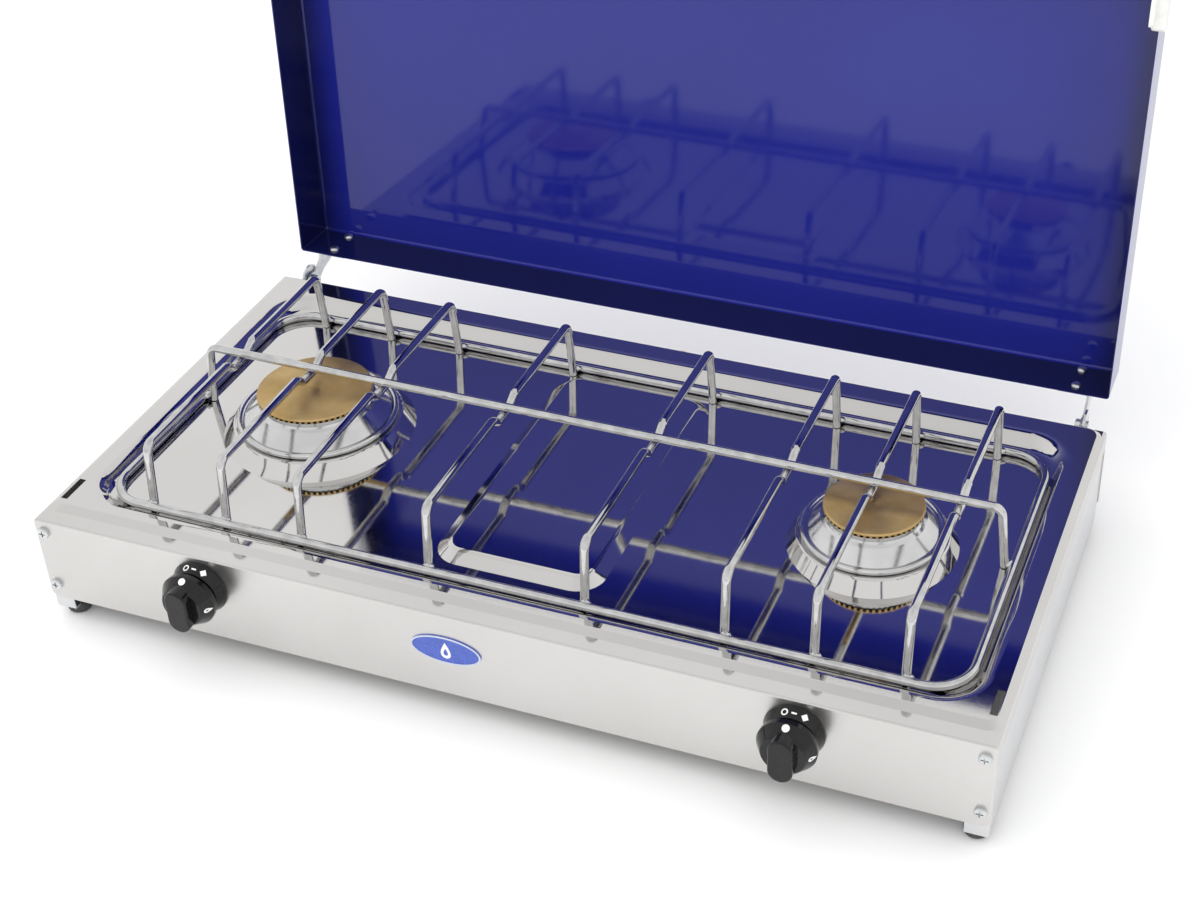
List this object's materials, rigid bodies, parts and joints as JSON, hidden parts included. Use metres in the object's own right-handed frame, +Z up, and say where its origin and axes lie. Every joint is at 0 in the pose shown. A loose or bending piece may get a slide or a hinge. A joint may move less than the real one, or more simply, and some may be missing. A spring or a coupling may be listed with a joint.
{
  "type": "two-burner camping stove",
  "caption": "Flat portable gas stove with a pressed steel hob, round burners under a raised wire pan support, front control knobs and a hinged lid that folds back.",
  "frame": {"origin": "on the surface that the feet stand on, under the middle of the whole object's box with the lid open", "axes": "+X to the user's right along the hob, +Y from the front with the knobs to the back with the hinges, +Z up"},
  "size_m": [0.6, 0.4026, 0.3763],
  "materials": {
    "hob_steel": "bright polished stainless sheet",
    "side_steel": "folded sheet with a fine satin finish",
    "badge_blue": "blue lacquer with a pale raised border",
    "enamel": "deep blue gloss enamel",
    "zinc": "zinc-plated steel",
    "wire_chrome": "chromed round wire",
    "cast_aluminium": "die-cast and turned, bright",
    "brass": "machined brass, slightly dulled",
    "black_knob": "gloss black moulding",
    "foot_rubber": "dark grey moulded rubber",
    "white_plastic": "white moulded plastic",
    "spring_steel": "hardened spring steel"
  },
  "bodies": {
    "case": {"top_cover": "hob_steel", "badge": "badge_blue", "manifold": "brass", "supply_pipe": "cast_aluminium", "left_side_panel": "side_steel", "right_side_panel": "side_steel", "left_hinge_ear": "zinc", "right_hinge_ear": "zinc", "left_hinge_pin": "zinc", "right_hinge_pin": "zinc", "front_screws": "zinc", "rear_screws": "zinc", "burner_screws": "zinc", "ear_rivets": "zinc", "pipe_nuts": "brass", "hose_nozzle": "brass", "nozzle_locknut": "brass", "left_front_foot": "foot_rubber", "left_rear_foot": "foot_rubber", "left_burner_body": "cast_aluminium", "left_tap_body": "brass", "left_tap_bonnet": "brass", "left_tap_bracket": "zinc", "left_jet": "brass", "left_bezel": "black_knob", "right_front_foot": "foot_rubber", "right_rear_foot": "foot_rubber", "right_burner_body": "cast_aluminium", "right_tap_body": "brass", "right_tap_bonnet": "brass", "right_tap_bracket": "zinc", "right_jet": "brass", "right_bezel": "black_knob"},
    "left_tap_plug": {"left_tap_plug": "brass", "left_tap_spring": "spring_steel"},
    "left_knob": {"left_knob": "black_knob", "left_tap_spindle": "zinc"},
    "left_burner_cap": {"left_burner_cap": "brass"},
    "right_tap_plug": {"right_tap_plug": "brass", "right_tap_spring": "spring_steel"},
    "right_knob": {"right_knob": "black_knob", "right_tap_spindle": "zinc"},
    "right_burner_cap": {"right_burner_cap": "brass"},
    "pan_support": {"support_ring": "wire_chrome", "long_bar": "wire_chrome", "cross_bar_1": "wire_chrome", "cross_bar_2": "wire_chrome", "cross_bar_3": "wire_chrome", "cross_bar_4": "wire_chrome", "cross_bar_5": "wire_chrome", "cross_bar_6": "wire_chrome", "cross_bar_7": "wire_chrome", "cross_bar_8": "wire_chrome"},
    "lid": {"lid_pan": "enamel", "arm_rivets": "zinc", "left_hinge_arm": "zinc", "right_hinge_arm": "zinc", "left_lid_catch": "white_plastic", "right_lid_catch": "white_plastic", "catch_springs": "spring_steel"}
  },
  "joints": [
    {"name": "lid_hinge", "type": "hinge", "parent": "case", "child": "lid", "pos_m": [0, 0.13823, 0.0706], "axis": [-1, 0, 0], "range_deg": [-92.86, 0]},
    {"name": "left_tap_turn", "type": "hinge", "parent": "case", "child": "left_tap_plug", "pos_m": [-0.1855, -0.17387, 0.055], "axis": [0, -1, 0], "range_deg": [0, 210]},
    {"name": "left_knob_push", "type": "slide", "parent": "left_tap_plug", "child": "left_knob", "axis": [0, 1, 0], "range_m": [0, 0.0025], "stiffness_N_per_m": 2400, "deforming": ["left_tap_spring"]},
    {"name": "right_tap_turn", "type": "hinge", "parent": "case", "child": "right_tap_plug", "pos_m": [0.188, -0.17387, 0.055], "axis": [0, -1, 0], "range_deg": [0, 210]},
    {"name": "right_knob_push", "type": "slide", "parent": "right_tap_plug", "child": "right_knob", "axis": [0, 1, 0], "range_m": [0, 0.0025], "stiffness_N_per_m": 2400, "deforming": ["right_tap_spring"]},
    {"name": "pan_support_lift", "type": "slide", "parent": "case", "child": "pan_support", "axis": [0, 0, 1], "range_m": [0, 0.06]},
    {"name": "left_cap_lift", "type": "slide", "parent": "case", "child": "left_burner_cap", "axis": [0, 0, 1], "range_m": [0, 0.0035]},
    {"name": "right_cap_lift", "type": "slide", "parent": "case", "child": "right_burner_cap", "axis": [0, 0, 1], "range_m": [0, 0.0035]}
  ]
}
